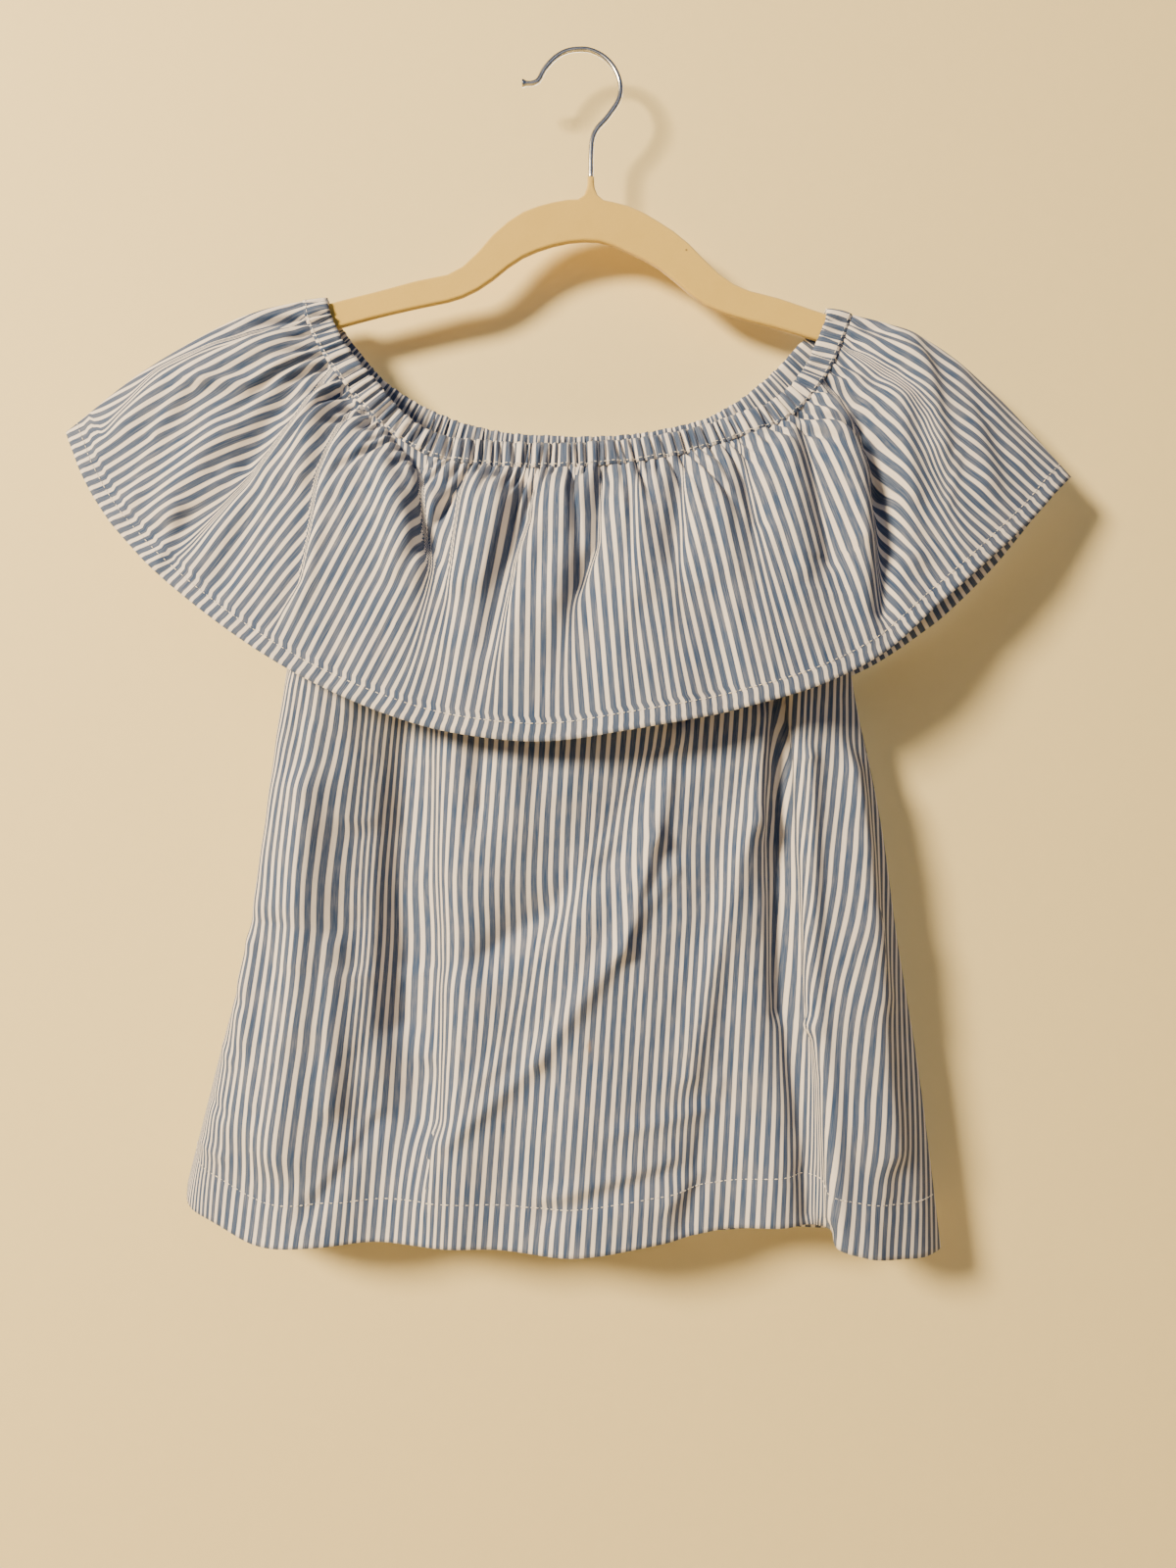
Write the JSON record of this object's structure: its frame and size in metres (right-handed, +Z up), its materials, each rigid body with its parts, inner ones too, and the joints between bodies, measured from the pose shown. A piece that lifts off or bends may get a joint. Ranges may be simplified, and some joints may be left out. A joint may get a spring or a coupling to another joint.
{
  "type": "off-shoulder top on a clothes hanger",
  "caption": "Striped cotton off-shoulder top with an elasticated gathered neck and a deep flounce, hanging on a slim flocked hanger with a wire hook.",
  "frame": {"origin": "Inside the crown of the hanger's hook, where a rail or nail bears.", "axes": "+Z up, +X to the right seen from the front, and the front of the top faces -Y. The hanger lies in the plane Y = 0."},
  "size_m": [0.665, 0.0863, 0.7947],
  "materials": {
    "striped_cotton": "matt woven cotton, blue and white stripes",
    "cream_flock": "short matt flock",
    "chromed_wire": "bright"
  },
  "bodies": {
    "root": {"neck_casing_front": "striped_cotton", "neck_casing_back": "striped_cotton", "ruffle_front": "striped_cotton", "ruffle_back": "striped_cotton", "body_front": "striped_cotton", "body_back": "striped_cotton", "hanger_body": "cream_flock", "hanger_hook": "chromed_wire"}
  },
  "joints": []
}
